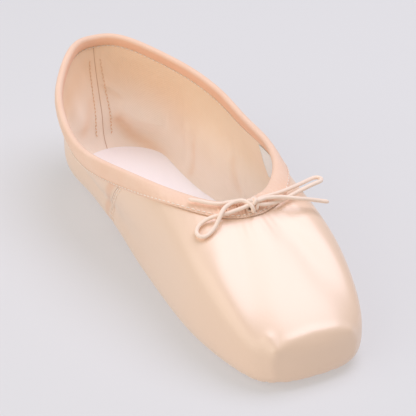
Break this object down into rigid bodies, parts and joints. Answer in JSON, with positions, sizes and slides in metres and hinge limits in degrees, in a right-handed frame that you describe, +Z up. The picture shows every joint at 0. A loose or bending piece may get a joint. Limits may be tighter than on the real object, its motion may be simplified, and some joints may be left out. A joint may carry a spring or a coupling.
{
  "type": "demi pointe shoe",
  "caption": "Soft ballet shoe in peach satin: wide blunt toe, hollow upper open at the collar, drawstring bow at the throat and a thin leather sole.",
  "frame": {"origin": "on the floor under the middle of the shoe's outline", "axes": "+Z up, -Y towards the toe, +X towards the wearer's left"},
  "size_m": [0.0898, 0.2474, 0.065],
  "materials": {
    "satin_upper": "smooth satin with a soft sheen",
    "casing_tape": "matt woven tape",
    "sole_leather": "matt split leather",
    "insole_cloth": "matt brushed cloth",
    "drawstring_cord": "matt braided cord"
  },
  "bodies": {
    "root": {"upper": "satin_upper", "collar_binding": "casing_tape", "outsole": "sole_leather", "insole": "insole_cloth", "drawstring_knot": "drawstring_cord", "drawstring_loop_left": "drawstring_cord", "drawstring_loop_right": "drawstring_cord", "drawstring_end_left": "drawstring_cord", "drawstring_end_right": "drawstring_cord"}
  },
  "joints": []
}
